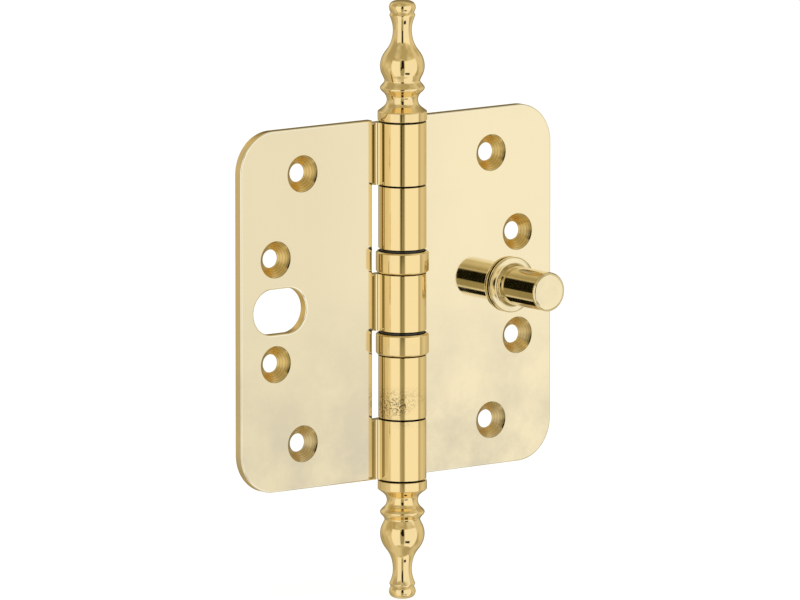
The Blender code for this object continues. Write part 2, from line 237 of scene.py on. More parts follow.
def turned(name, profile, origin, axis, closed=False, steps=TURN_STEPS):
    """A piece turned on a lathe: the profile is (radius, height along the axis from the origin)."""
    axis = Vector(axis)
    outwards = Vector((1, 0, 0))
    origin = Vector(origin)
    points = [origin + outwards * radius + axis * height for radius, height in profile]
    pen = Pen(name, points[0])
    pen.lines(points[1:])
    if closed:
        pen.line(points[0])
    bpy.ops.mesh.select_all(action="SELECT")
    bpy.ops.mesh.remove_doubles(threshold=WELD)
    bpy.ops.mesh.spin(steps=steps, angle=FULL, center=origin, axis=axis)
    point_normals_out()
    return pen.lift()


def extruded(pen, along):
    """Fills the pen's closed outline and pulls it out into a solid."""
    pen.close_and_fill()
    bpy.ops.mesh.extrude_region_move(TRANSFORM_OT_translate={"value": along})
    point_normals_out()
    return pen.lift()


def block(name, low, high):
    """A plain block between two corners, for cutting with."""
    deselect_everything()
    low, high = Vector(low), Vector(high)
    bpy.ops.mesh.primitive_cube_add(size=1, location=(low + high) / 2, scale=high - low)
    bpy.ops.object.transform_apply(location=True, rotation=True, scale=True)
    bpy.context.object.name = name
    return bpy.context.object


def cut(piece, tool):
    """Cuts the tool's shape out of the piece and puts the tool away."""
    work_on(piece)
    modifier = piece.modifiers.new("cut", "BOOLEAN")
    modifier.operation = "DIFFERENCE"
    modifier.solver = "EXACT"
    modifier.object = tool
    bpy.ops.object.modifier_apply(modifier=modifier.name)
    bpy.data.objects.remove(tool, do_unlink=True)


def edges_where(piece, wanted):
    """Selects the sharp edges that pass the test on their two ends, and says how many there are."""
    work_on(piece)
    bpy.ops.object.mode_set(mode="EDIT")
    bpy.ops.mesh.select_mode(type="EDGE")
    bpy.ops.mesh.select_all(action="DESELECT")
    bpy.ops.mesh.edges_select_sharp(sharpness=SHARP)
    bpy.ops.object.mode_set(mode="OBJECT")
    mesh = piece.data
    chosen = [edge for edge in mesh.edges
              if edge.select and wanted(*(mesh.vertices[v].co for v in edge.vertices))]
    for parts in (mesh.polygons, mesh.edges, mesh.vertices):
        parts.foreach_set("select", [False] * len(parts))
    for edge in chosen:
        edge.select = True
        for vertex in edge.vertices:
            mesh.vertices[vertex].select = True
    bpy.ops.object.mode_set(mode="EDIT")
    return len(chosen)


def soften(piece, wanted, width, segments):
    """Rounds over the sharp edges that pass the test."""
    if edges_where(piece, wanted):
        bpy.ops.mesh.bevel(offset=width, segments=segments, affect="EDGES", clamp_overlap=False)
    bpy.ops.mesh.select_mode(type="VERT")
    bpy.ops.object.mode_set(mode="OBJECT")


def polish(piece):
    """Smooth round faces, truly flat flat faces, and edges kept crisp."""
    work_on(piece)
    bpy.ops.object.shade_smooth_by_angle(angle=ROUND, keep_sharp_edges=True)
    modifier = piece.modifiers.new("flat_faces", "WEIGHTED_NORMAL")
    modifier.keep_sharp = True
    modifier.weight = FLAT_FACE_WEIGHT
    bpy.ops.object.modifier_apply(modifier=modifier.name)


def same(a, b):
    return abs(a - b) < WELD


# ---------------------------------------------------------------- leaves

def bar_section(side):
    """The bar's section, drawn at the leaf's bottom: the plate, two root fillets and the barrel."""
    low = frame_leaf_low.z
    spread = KNUCKLE_RADIUS + ROOT_FILLET
    front_y = LEAF_FRONT - ROOT_FILLET
    back_y = LEAF_BACK + ROOT_FILLET
    front = Vector((side * math.sqrt(spread ** 2 - front_y ** 2), front_y, low))
    back = Vector((side * math.sqrt(spread ** 2 - back_y ** 2), back_y, low))
    front_turn = math.atan2(front.y, abs(front.x))
    back_turn = math.atan2(back.y, abs(back.x))
    pen = Pen("bar", (side * LEAF_REACH, LEAF_FRONT, low))
    pen.line((front.x, LEAF_FRONT, low))
    pen.arc(front, side * (QUARTER + front_turn), UP, FILLET_STEP)
    pen.arc((0, 0, low), -side * (FULL - back_turn + front_turn), UP, BARREL_STEP)
    pen.arc(back, side * (QUARTER - back_turn), UP, FILLET_STEP)
    pen.line((side * LEAF_REACH, LEAF_BACK, low))
    pen.line((side * LEAF_REACH, LEAF_FRONT, low))
    return pen


def countersink(name, x, z):
    """The cutting tool for a screw hole, its cone marked with the fine rings that the tool leaves."""
    depth = COUNTERSINK_RADIUS - SCREW_HOLE_RADIUS
    rings = int(depth / TOOL_RING_PITCH)
    cone = []
    for number in range(rings + 1):
        share = number / rings
        ridge = TOOL_RING_DEPTH if number % 2 else 0
        cone.append((COUNTERSINK_RADIUS - depth * share + ridge, -depth * share + ridge))
    profile = ([(0, OVERRUN), (COUNTERSINK_RADIUS, OVERRUN), (COUNTERSINK_RADIUS, -RIM_LIP)] + cone[1:]
               + [(SCREW_HOLE_RADIUS, -LEAF_THICKNESS - OVERRUN), (0, -LEAF_THICKNESS - OVERRUN)])
    return turned(name, profile, (x, LEAF_FRONT, z), OUT_FRONT, steps=HOLE_STEPS)


def oval_tool():
    """The cutting tool for the hole that the stud enters when the hinge is shut."""
    front = LEAF_FRONT - OVERRUN
    inner = -OVAL_INNER - OVAL_HALF_HEIGHT
    outer = -OVAL_OUTER + OVAL_HALF_HEIGHT
    pen = Pen("oval", (inner, front, OVAL_HALF_HEIGHT))
    pen.arc((inner, front, 0), HALF, (0, 1, 0), BARREL_STEP)
    pen.line((outer, front, -OVAL_HALF_HEIGHT))
    pen.arc((outer, front, 0), HALF, (0, 1, 0), BARREL_STEP)
    pen.line((inner, front, OVAL_HALF_HEIGHT))
    return extruded(pen, (0, LEAF_THICKNESS + 2 * OVERRUN, 0))


def leaf(name, side, gaps):
    """A leaf of drawn bar: corners rounded, notched for the other leaf's knuckles, bored and countersunk."""
    piece = extruded(bar_section(side), (0, 0, 2 * HALF_HEIGHT))
    piece.name = name

    def at_outer_corner(start, end):
        across = same(start.x, end.x) and same(start.z, end.z)
        return across and same(abs(start.x), LEAF_REACH) and same(abs(start.z), HALF_HEIGHT)

    soften(piece, at_outer_corner, CORNER_RADIUS, CORNER_SEGMENTS)

    for low, high in gaps:
        near = side * NOTCH_EDGE
        far = -side * (KNUCKLE_RADIUS + OVERRUN)
        deep = LEAF_BACK + KNUCKLE_RADIUS
        cut(piece, block("notch", (min(near, far), -deep, low), (max(near, far), deep, high)))

    bore_end = HALF_HEIGHT + OVERRUN
    bore = [(0, bore_end), (PIN_BORE, bore_end), (PIN_BORE, -bore_end), (0, -bore_end)]
    cut(piece, turned("bore", bore, (0, 0, 0), UP, steps=HOLE_STEPS))

    def on_leaf_face(start, end):
        on_face = same(start.y, end.y) and (same(start.y, LEAF_FRONT) or same(start.y, LEAF_BACK))
        return on_face and not (same(start.x, end.x) and abs(start.x) < NOTCH_EDGE)

    soften(piece, on_leaf_face, LEAF_EDGE, EDGE_STEPS)

    for up in (1, -1):
        end_z = up * (HALF_HEIGHT - END_SCREW_DROP)
        cut(piece, countersink("end_hole", side * (LEAF_REACH - END_SCREW_INSET), end_z))
        middle_z = up * MIDDLE_SCREW_HEIGHT
        cut(piece, countersink("middle_hole", side * (LEAF_REACH - MIDDLE_SCREW_INSET), middle_z))
    return piece


def soften_knuckles(piece):
    def on_knuckle_rim(start, end):
        return all(same(math.hypot(point.x, point.y), KNUCKLE_RADIUS) for point in (start, end))

    soften(piece, on_knuckle_rim, KNUCKLE_EDGE, KNUCKLE_EDGE_STEPS)


def frame_leaf():
    overshoot = HALF_HEIGHT + OVERRUN
    piece = leaf("frame_leaf_brass", -1, [(BOTTOM_KNUCKLE_HIGH, MIDDLE_KNUCKLE[0]),
                                          (MIDDLE_KNUCKLE[1], TOP_KNUCKLE_LOW), (BARREL_TOP, overshoot)])
    cut(piece, oval_tool())

    def on_oval_rim(start, end):
        on_face = same(start.y, end.y) and (same(start.y, LEAF_FRONT) or same(start.y, LEAF_BACK))
        inside = all(-OVAL_OUTER - WELD < point.x < -OVAL_INNER + WELD
                     and abs(point.z) < OVAL_HALF_HEIGHT + WELD for point in (start, end))
        return on_face and inside

    soften(piece, on_oval_rim, OVAL_RIM, EDGE_STEPS)
    soften_knuckles(piece)
    return piece


def door_leaf():
    overshoot = HALF_HEIGHT + OVERRUN
    piece = leaf("door_leaf_brass", 1, [(-overshoot, LOWER_DOOR_KNUCKLE[0]),
                                        (LOWER_DOOR_KNUCKLE[1], UPPER_DOOR_KNUCKLE[0]),
                                        (UPPER_DOOR_KNUCKLE[1], overshoot)])
    radius = RIVET_RADIUS + SEAT_GAP
    head = RIVET_HEAD_RADIUS + SEAT_GAP
    slope = (head - radius) / RIVET_HEAD_DEPTH
    profile = [(0, OVERRUN), (head + slope * OVERRUN, OVERRUN), (radius, -RIVET_HEAD_DEPTH),
               (radius, -LEAF_THICKNESS - OVERRUN), (0, -LEAF_THICKNESS - OVERRUN)]
    cut(piece, turned("rivet_hole", profile, (STUD_X, LEAF_BACK, 0), -OUT_FRONT, steps=HOLE_STEPS))
    soften_knuckles(piece)
    return piece


# ---------------------------------------------------------------- turned pieces

FINIAL_FOOT = 6.05 * MM
FINIAL_FOOT_HEIGHT = 2.15 * MM
FINIAL_EDGE = 0.2 * MM
SPIGOT_SOCKET = 2.3 * MM
CURVE_STEPS = 5
BUTTON_STEPS = 4


def finial_profile():
    """The finial from its tip down to its seat; the curves are (radius, height above the seat) in mm."""
    cove = [(5.9, 2.35), (5.15, 2.9), (4.4, 3.55), (4.0, 4.15), (3.82, 5.0), (3.97, 5.85), (4.42, 6.6),
            (5.0, 7.15), (5.38, 7.6)]
    ring = [(5.38, 7.6), (5.5, 7.95), (5.32, 8.4), (4.9, 8.9), (4.5, 9.4), (4.35, 9.85)]
    vase = [(4.35, 9.85), (4.75, 10.75), (5.15, 11.6), (5.42, 12.6), (5.46, 13.7), (5.27, 14.8),
            (4.85, 15.9), (4.2, 16.95), (3.5, 17.9), (2.95, 18.95), (2.56, 20.2), (2.33, 21.9),
            (2.42, 23.4), (2.75, 24.7), (3.18, 25.8)]
    lip = (3.12, 26.05)
    button = [(2.85, 26.5), (3.1, 27.0), (3.28, 27.7), (3.16, 28.4), (2.75, 28.98), (1.9, 29.4),
              (0.9, 29.53), (0, 29.55)]
    upwards = []
    for stretch in (cove, ring, vase):
        upwards += smooth_through(stretch, CURVE_STEPS)[:-1]
    upwards += [vase[-1], lip] + smooth_through(button, BUTTON_STEPS)
    edge_centre = (FINIAL_FOOT - FINIAL_EDGE, FINIAL_EDGE)
    edge = rounded_step(edge_centre, FINIAL_EDGE, -QUARTER, 0, EDGE_STEPS)
    foot = edge + [(FINIAL_FOOT, FINIAL_FOOT_HEIGHT)]
    above = [(radius * MM, height * MM) for radius, height in upwards]
    socket_depth = SPIGOT_LENGTH + SEAT_GAP
    socket = [(SPIGOT_SOCKET, 0), (SPIGOT_SOCKET, socket_depth), (0, socket_depth)]
    return above[::-1] + foot[::-1] + socket


def security_stud():
    """Collar, stud and riveted tail in one turning, standing out from the door leaf's face."""
    tip_centre = (STUD_RADIUS - STUD_TIP_ROUND, STUD_LENGTH - STUD_TIP_ROUND)
    tip = rounded_step(tip_centre, STUD_TIP_ROUND, QUARTER, 0, ROUND_STEPS)
    fillet_centre = (STUD_RADIUS + COLLAR_FILLET, COLLAR_THICKNESS + COLLAR_FILLET)
    fillet = rounded_step(fillet_centre, COLLAR_FILLET, HALF, HALF + QUARTER, ROUND_STEPS)
    front_centre = (COLLAR_RADIUS - COLLAR_EDGE, COLLAR_THICKNESS - COLLAR_EDGE)
    front_edge = rounded_step(front_centre, COLLAR_EDGE, QUARTER, 0, EDGE_STEPS)
    back_centre = (COLLAR_RADIUS - COLLAR_EDGE, SEAT_GAP + COLLAR_EDGE)
    back_edge = rounded_step(back_centre, COLLAR_EDGE, 0, -QUARTER, EDGE_STEPS)
    tail_end = -(LEAF_THICKNESS - SEAT_GAP)
    head_start = tail_end + RIVET_HEAD_DEPTH - SEAT_GAP
    profile = ([(0, STUD_LENGTH)] + tip + fillet + front_edge + back_edge
               + [(RIVET_RADIUS, SEAT_GAP), (RIVET_RADIUS, head_start),
                  (RIVET_HEAD_RADIUS - SEAT_GAP, tail_end), (0, tail_end)])
    return turned("security_stud_brass", profile, (STUD_X, LEAF_FRONT, 0), OUT_FRONT)


def sleeve(name, low, high):
    """A bearing's outer ring, with a chamfer and a softened corner at each end."""
    height = high - low
    bore = SLEEVE_RADIUS - SLEEVE_WALL
    inside = SLEEVE_RADIUS - SLEEVE_CHAMFER
    nick = SLEEVE_EDGE / 2
    lower_half = [(SLEEVE_RADIUS, SLEEVE_CHAMFER + SLEEVE_EDGE), (SLEEVE_RADIUS - nick, SLEEVE_CHAMFER),
                  (inside, nick), (inside - SLEEVE_EDGE, 0), (bore, 0)]
    upper_half = [(radius, height - rise) for radius, rise in reversed(lower_half)]
    profile = upper_half + lower_half
    return turned(name, profile, (0, 0, low), UP, closed=True)


# ---------------------------------------------------------------- materials

def new_material(name):
    material = bpy.data.materials.new(name)
    material.use_nodes = True
    tree = material.node_tree
    return material, tree, tree.nodes["Principled BSDF"]


def noise(tree, where, scale, detail, roughness=0.5, stretch=(1, 1, 1)):
    mapping = tree.nodes.new("ShaderNodeMapping")
    mapping.inputs["Scale"].default_value = stretch
    tree.links.new(where, mapping.inputs["Vector"])
    texture = tree.nodes.new("ShaderNodeTexNoise")
    texture.inputs["Scale"].default_value = scale
    texture.inputs["Detail"].default_value = detail
    texture.inputs["Roughness"].default_value = roughness
    tree.links.new(mapping.outputs["Vector"], texture.inputs["Vector"])
    return texture.outputs["Fac"]


def ramp(tree, source, stops):
    """A colour ramp: stops are (place, colour)."""
    node = tree.nodes.new("ShaderNodeValToRGB")
    elements = node.color_ramp.elements
    while len(elements) < len(stops):
        elements.new(1)
    for element, (place, colour) in zip(elements, stops):
        element.position = place
        element.color = (*colour, 1)
    tree.links.new(source, node.inputs["Fac"])
    return node.outputs["Color"]


def spread(tree, source, low, high, to_low=0, to_high=1):
    """Turns the range from low to high into the range from to_low to to_high, and holds it beyond."""
    node = tree.nodes.new("ShaderNodeMapRange")
    node.inputs["From Min"].default_value = low
    node.inputs["From Max"].default_value = high
    node.inputs["To Min"].default_value = to_low
    node.inputs["To Max"].default_value = to_high
    tree.links.new(source, node.inputs["Value"])
    return node.outputs["Result"]


def mix_colours(tree, factor, first, second):
    node = tree.nodes.new("ShaderNodeMix")
    node.data_type = "RGBA"
    tree.links.new(factor, node.inputs["Factor"])
    first_socket, second_socket = (socket for socket in node.inputs if socket.type == "RGBA")
    for socket, colour in ((first_socket, first), (second_socket, second)):
        if isinstance(colour, tuple):
            socket.default_value = (*colour, 1)
        else:
            tree.links.new(colour, socket)
    return next(socket for socket in node.outputs if socket.type == "RGBA")


def maths(tree, operation, *values):
    node = tree.nodes.new("ShaderNodeMath")
    node.operation = operation
    for socket, value in zip(node.inputs, values):
        if isinstance(value, (int, float)):
            socket.default_value = value
        else:
            tree.links.new(value, socket)
    return node.outputs["Value"]


def times(tree, first, *others):
    """The product of several values."""
    for other in others:
        first = maths(tree, "MULTIPLY", first, other)
    return first


def object_place(tree):
    place = tree.nodes.new("ShaderNodeTexCoord").outputs["Object"]
    apart = tree.nodes.new("ShaderNodeSeparateXYZ")
    tree.links.new(place, apart.inputs["Vector"])
    return place, apart.outputs["X"], apart.outputs["Y"], apart.outputs["Z"]


def bump(tree, shader, height, strength, distance):
    node = tree.nodes.new("ShaderNodeBump")
    node.inputs["Strength"].default_value = strength
    node.inputs["Distance"].default_value = distance
    tree.links.new(height, node.inputs["Height"])
    tree.links.new(node.outputs["Normal"], shader.inputs["Normal"])


def from_axis(tree, across, up):
    """Distance from an axis, from two distances square to it."""
    return maths(tree, "SQRT", maths(tree, "ADD", times(tree, across, across), times(tree, up, up)))


def between(tree, source, low, high, soft):
    """1 where the source lies between two values, fading to 0 outside them."""
    return times(tree, spread(tree, source, low - soft, low + soft),
                 spread(tree, source, high + soft, high - soft))


def distance_from_screw(tree, x, z):
    """Distance from the nearest screw hole's axis, the same on all four quarters of the hinge."""
    holes = ((END_SCREW_INSET, HALF_HEIGHT - END_SCREW_DROP), (MIDDLE_SCREW_INSET, MIDDLE_SCREW_HEIGHT))
    distances = []
    for inset, height in holes:
        across = maths(tree, "SUBTRACT", maths(tree, "ABSOLUTE", x), LEAF_REACH - inset)
        up = maths(tree, "SUBTRACT", maths(tree, "ABSOLUTE", z), height)
        distances.append(from_axis(tree, across, up))
    return maths(tree, "MINIMUM", *distances)


# ---------------------------------------------------------------- finishes

PALE_BRASS = (0.865, 0.765, 0.52)
STUD_BRASS = (0.85, 0.745, 0.49)
DARKER_LEFT_BRASS = (0.765, 0.682, 0.468)
DEEP_BRASS = (0.88, 0.69, 0.35)
DULL_BRASS = (0.56, 0.51, 0.40)
CUT_BRASS = (0.84, 0.66, 0.36)
# Painted shade for the cut walls of holes and notches.
HOLE_SHADE_BRASS = (0.86, 0.62, 0.235)
# Painted highlight for the leaves' rounded front edges.
PAINTED_EDGE_HIGHLIGHT = (1.0, 0.95, 0.78)
# Painted shade: a dark brass for the countersinks' rings and rim lines, the leaves' top edges and the stud's
# fillet and collar line.
PAINTED_SHADE_BRASS = (0.38, 0.27, 0.08)
# Near black: real grime in the knuckle's pits, and painted shade inside the joints and the bearings.
GRIME_AND_GAP_SHADE = (0.035, 0.03, 0.018)
# Near-black steel for the pin and the bearings' inner pieces.
DARK_PIN_STEEL = (0.05, 0.048, 0.045)
DARK_BEARING_STEEL = (0.07, 0.066, 0.058)
STEEL_LINES_DARKEN = 0.8

MIRROR_ROUGHNESS = 0.03
WIPED_ROUGHNESS = 0.09
STUD_ROUGHNESS = 0.08
CUT_ROUGHER = 0.2
DIRTY_ROUGHER = 0.3

BARREL_TONE_END = 5.95 * MM
LEAF_TONE_START = 7.5 * MM
DARKER_LEFT_X = -25 * MM
PALE_SIDE = 20 * MM
ROOT_END = (7.4 * MM, 7.6 * MM)
CUT_INSET = 0.25 * MM
CUT_FADE = 0.1 * MM
OUTER_EDGE_START = 3 * MM
OUTER_EDGE_FULL = 2.5 * MM
CONE_OVERLAP = 0.05 * MM
CONE_FADE = 0.03 * MM
RING_SHADE = 0.4
RIM_LINE = 0.16 * MM
RIM_OVERLAP = 0.03 * MM
RIM_FADE = 0.04 * MM
RIM_SHADE = 0.6
# Painted shade along the leaves' top edges.
TOP_LINE_START = 0.4 * MM
TOP_LINE_FULL = 0.2 * MM
TOP_LINE_SHADE = 0.7
SHINE_START = 0.02 * MM
SHINE_END = 0.36 * MM
SHINE_FADE = 0.02 * MM
SHINE_CLEAR_OF_HOLE = 0.2 * MM
SMUDGES_TOP = 5 * MM
PITTED_HEIGHT = 6 * MM
PITTED_FADE = 2.5 * MM
PITTED_RADIUS = (6.3 * MM, 6.0 * MM)
# Painted shade inside the joints: on the knuckles' end faces and bore, and inside the sleeves.
GAP_SHADE_FADE = (KNUCKLE_RADIUS - 0.1 * MM, KNUCKLE_RADIUS - 0.14 * MM)
SLEEVE_GAP_SHADE_FADE = (6.05 * MM, 5.95 * MM)

# Painted shade in the stud's fillet and as a line round its collar.
COLLAR_ZONE_START = 2.2 * MM
COLLAR_ZONE_FULL = 1.6 * MM
FILLET_SHADE_WIDTH = 0.55 * MM
FILLET_SHADE_FADE = 0.2 * MM
COLLAR_SHADE_LINE = (COLLAR_RADIUS - 0.3 * MM, COLLAR_RADIUS - 0.1 * MM)
COLLAR_SHADE_LINE_FADE = 0.06 * MM


def countersink_painted_shade(tree, from_screw, cut):
    """Painted shade: the tool's fine rings on the cone are darkened in a wave, and a dark line is painted
    round its rim.
    """
    on_cone = between(tree, from_screw, SCREW_HOLE_RADIUS, COUNTERSINK_RADIUS + CONE_OVERLAP, CONE_FADE)
    wave = maths(tree, "SINE", times(tree, from_screw, FULL / TOOL_RING_PITCH))
    rings = times(tree, spread(tree, wave, -1, 1, to_high=RING_SHADE), cut)
    rim = between(tree, from_screw, COUNTERSINK_RADIUS - RIM_LINE, COUNTERSINK_RADIUS + RIM_OVERLAP, RIM_FADE)
    return times(tree, on_cone, maths(tree, "MAXIMUM", rings, times(tree, rim, RIM_SHADE)))


def painted_edge_highlight(tree, y, from_screw, flat):
    """A painted highlight: the bright line along the rounded front edges of a leaf."""
    near_front = between(tree, y, LEAF_FRONT + SHINE_START, LEAF_FRONT + SHINE_END, SHINE_FADE)
    off_hole = spread(tree, from_screw, COUNTERSINK_RADIUS, COUNTERSINK_RADIUS + SHINE_CLEAR_OF_HOLE)
    return times(tree, near_front, flat, off_hole)


def smudges(tree, place, z, flat):
    """Cloudy tarnish on the leaves, stronger towards their lower edge."""
    cloud = noise(tree, place, scale=55, detail=6, roughness=0.62)
    cloud = spread(tree, cloud, 0.38, 0.62, to_low=0.1, to_high=0.85)
    low_down = spread(tree, z, SMUDGES_TOP, -HALF_HEIGHT, to_low=0.06, to_high=0.9)
    return times(tree, cloud, low_down, flat)


def pitting(tree, place, radius, z):
    """Dark pits on the lower end of the lower door knuckle."""
    pits = spread(tree, noise(tree, place, scale=2100, detail=3, roughness=0.7), 0.48, 0.57, to_high=0.8)
    clusters = spread(tree, noise(tree, place, scale=130, detail=3), 0.34, 0.5)
    low_end = LOWER_DOOR_KNUCKLE[0]
    zone = between(tree, z, low_end, low_end + PITTED_HEIGHT, PITTED_FADE)
    on_barrel = spread(tree, radius, *PITTED_RADIUS)
    return times(tree, pits, clusters, zone, on_barrel)


def polished_brass():
    """Leaf brass: mirror polished, deeper on the barrel, smudged low down, with painted shade inside the
    joints, on the hole walls, countersinks and top edges, and a painted highlight on the front edges.
    """
    material, tree, shader = new_material("polished_leaf_brass")
    place, x, y, z = object_place(tree)
    radius = from_axis(tree, x, y)
    from_screw = distance_from_screw(tree, x, z)
    flat = spread(tree, radius, BARREL_TONE_END, LEAF_TONE_START)
    cut = times(tree, between(tree, y, LEAF_FRONT + CUT_INSET, LEAF_BACK - CUT_INSET, CUT_FADE),
                spread(tree, radius, *ROOT_END))
    at_outer_edge = spread(tree, maths(tree, "ABSOLUTE", x), LEAF_REACH - OUTER_EDGE_START,
                           LEAF_REACH - OUTER_EDGE_FULL)
    # Painted shade: a dark line along the leaves' top edges.
    top_edge_shade = times(tree, flat, spread(tree, z, HALF_HEIGHT - TOP_LINE_START, HALF_HEIGHT - TOP_LINE_FULL,
                                        to_high=TOP_LINE_SHADE))
    pits = pitting(tree, place, radius, z)
    # Painted shade: the knuckles' end faces and the bore, inside the joints, are painted near black.
    inside = spread(tree, radius, *GAP_SHADE_FADE)

    # Darker brass towards the frame leaf, fading to paler brass towards the door leaf.
    leaf_tone = mix_colours(tree, spread(tree, x, DARKER_LEFT_X, PALE_SIDE), DARKER_LEFT_BRASS, PALE_BRASS)
    # Painted shade: the cut walls of the holes and notches, and along the top and bottom, are a deeper,
    # darker gold than the cut brass at the outer end.
    cut_and_hole_shade_tone = mix_colours(tree, at_outer_edge, HOLE_SHADE_BRASS, CUT_BRASS)
    tone = mix_colours(tree, flat, DEEP_BRASS, leaf_tone)
    for factor, colour in ((cut, cut_and_hole_shade_tone),
                           (countersink_painted_shade(tree, from_screw, cut), PAINTED_SHADE_BRASS),
                           (top_edge_shade, PAINTED_SHADE_BRASS),
                           (painted_edge_highlight(tree, y, from_screw, flat), PAINTED_EDGE_HIGHLIGHT),
                           (smudges(tree, place, z, flat), DULL_BRASS),
                           (pits, GRIME_AND_GAP_SHADE),
                           (inside, GRIME_AND_GAP_SHADE)):
        tone = mix_colours(tree, factor, tone, colour)
    tree.links.new(tone, shader.inputs["Base Color"])
    shader.inputs["Metallic"].default_value = 1

    wiping = noise(tree, place, scale=400, detail=4, roughness=0.6, stretch=(1, 1, 0.15))
    rough = spread(tree, wiping, 0.35, 0.75, MIRROR_ROUGHNESS, WIPED_ROUGHNESS)
    rough = maths(tree, "ADD", rough, times(tree, cut, CUT_ROUGHER))
    rough = maths(tree, "ADD", rough, times(tree, maths(tree, "ADD", pits, inside), DIRTY_ROUGHER))
    tree.links.new(rough, shader.inputs["Roughness"])
    bump(tree, shader, noise(tree, place, scale=90, detail=2), strength=0.04, distance=0.05 * MM)
    return material


def turned_brass():
    """Lathe-turned brass: deeper gold, with faint turning lines, and painted shade inside the bearings."""
    material, tree, shader = new_material("turned_brass")
    place, x, y, z = object_place(tree)
    patches = spread(tree, noise(tree, place, scale=120, detail=5, roughness=0.6), 0.45, 0.75, to_high=0.25)
    by_bearings = between(tree, z, -HALF_HEIGHT, HALF_HEIGHT, MM)
    # Painted shade: the sleeves' bore and the inner edge of their end faces, inside the bearings, are painted
    # near black.
    inside = times(tree, spread(tree, from_axis(tree, x, y), *SLEEVE_GAP_SHADE_FADE), by_bearings)
    colour = mix_colours(tree, inside, mix_colours(tree, patches, DEEP_BRASS, DULL_BRASS), GRIME_AND_GAP_SHADE)
    tree.links.new(colour, shader.inputs["Base Color"])
    shader.inputs["Metallic"].default_value = 1
    lines = noise(tree, place, scale=60, detail=3, roughness=0.6, stretch=(1, 1, 60))
    rough = spread(tree, lines, 0.35, 0.7, MIRROR_ROUGHNESS, WIPED_ROUGHNESS)
    tree.links.new(rough, shader.inputs["Roughness"])
    bump(tree, shader, lines, strength=0.02, distance=0.02 * MM)
    return material


def stud_brass():
    """The stud's brass: mirror bright, with painted shade in its fillet and round its collar, patchy in
    strength.
    """
    material, tree, shader = new_material("stud_brass")
    place, x, y, z = object_place(tree)
    radius = from_axis(tree, maths(tree, "SUBTRACT", x, STUD_X), z)
    on_collar = spread(tree, y, LEAF_FRONT - COLLAR_ZONE_START, LEAF_FRONT - COLLAR_ZONE_FULL)
    fillet = between(tree, radius, STUD_RADIUS, STUD_RADIUS + FILLET_SHADE_WIDTH, FILLET_SHADE_FADE)
    rim = between(tree, radius, *COLLAR_SHADE_LINE, COLLAR_SHADE_LINE_FADE)
    patchy_strength = noise(tree, place, scale=350, detail=3, roughness=0.6)
    patchy_strength = spread(tree, patchy_strength, 0.35, 0.6, to_low=0.35, to_high=0.9)
    # Painted shade: the fillet and the collar's rim line are darkened, in patches.
    dark = times(tree, maths(tree, "ADD", fillet, rim), on_collar, patchy_strength)
    patches = spread(tree, noise(tree, place, scale=160, detail=4, roughness=0.6), 0.4, 0.7, to_high=0.3)
    colour = mix_colours(tree, dark, mix_colours(tree, patches, STUD_BRASS, DULL_BRASS), PAINTED_SHADE_BRASS)
    tree.links.new(colour, shader.inputs["Base Color"])
    shader.inputs["Metallic"].default_value = 1
    lines = noise(tree, place, scale=70, detail=3, roughness=0.6, stretch=(1, 40, 1))
    rough = spread(tree, lines, 0.35, 0.7, MIRROR_ROUGHNESS, STUD_ROUGHNESS)
    tree.links.new(rough, shader.inputs["Roughness"])
    bump(tree, shader, lines, strength=0.03, distance=0.02 * MM)
    return material


def ground_steel(name, tint, smoothest, roughest):
    """Bearing and pin steel, ground round its axis."""
    material, tree, shader = new_material(name)
    place = object_place(tree)[0]
    lines = noise(tree, place, scale=90, detail=4, roughness=0.6, stretch=(1, 1, 40))
    darker = tuple(STEEL_LINES_DARKEN * channel for channel in tint)
    colour = mix_colours(tree, spread(tree, lines, 0.3, 0.7), tint, darker)
    tree.links.new(colour, shader.inputs["Base Color"])
    shader.inputs["Metallic"].default_value = 1
    tree.links.new(spread(tree, lines, 0.3, 0.7, smoothest, roughest), shader.inputs["Roughness"])
    bump(tree, shader, lines, strength=0.08, distance=0.01 * MM)
    return material


# ---------------------------------------------------------------- studio

VIEW_AZIMUTH = math.radians(-37.369)
VIEW_ELEVATION = math.radians(9.106)
VIEW_DISTANCE = 3163.118 * MM
VIEW_ASIDE = -0.569 * MM
VIEW_ABOVE = -0.324 * MM
LENS = 581.53
SENSOR = 36.0
NEAREST = 0.1
FARTHEST = 60


def heading(azimuth, elevation):
    """The direction towards a compass angle, 0 being straight in front, and a height angle."""
    return Vector((math.sin(azimuth) * math.cos(elevation), -math.cos(azimuth) * math.cos(elevation),
                   math.sin(elevation)))


def camera():
    back = heading(VIEW_AZIMUTH, VIEW_ELEVATION)
    right = Vector((math.cos(VIEW_AZIMUTH), math.sin(VIEW_AZIMUTH), 0))
    above = back.cross(right)
    data = bpy.data.cameras.new("camera")
    data.lens = LENS
    data.sensor_width = SENSOR
    data.clip_start = NEAREST
    data.clip_end = FARTHEST
    view = bpy.data.objects.new("camera", data)
    stand = Matrix.Translation(back * VIEW_DISTANCE + right * VIEW_ASIDE + above * VIEW_ABOVE)
    view.matrix_world = stand @ Matrix((right, above, back)).transposed().to_4x4()
    bpy.context.scene.collection.objects.link(view)
    bpy.context.scene.camera = view


FLOOR_SIZE = 16
FLOOR_GREY = (0.25, 0.25, 0.25, 1)
FLOOR_GLOW = 0.9


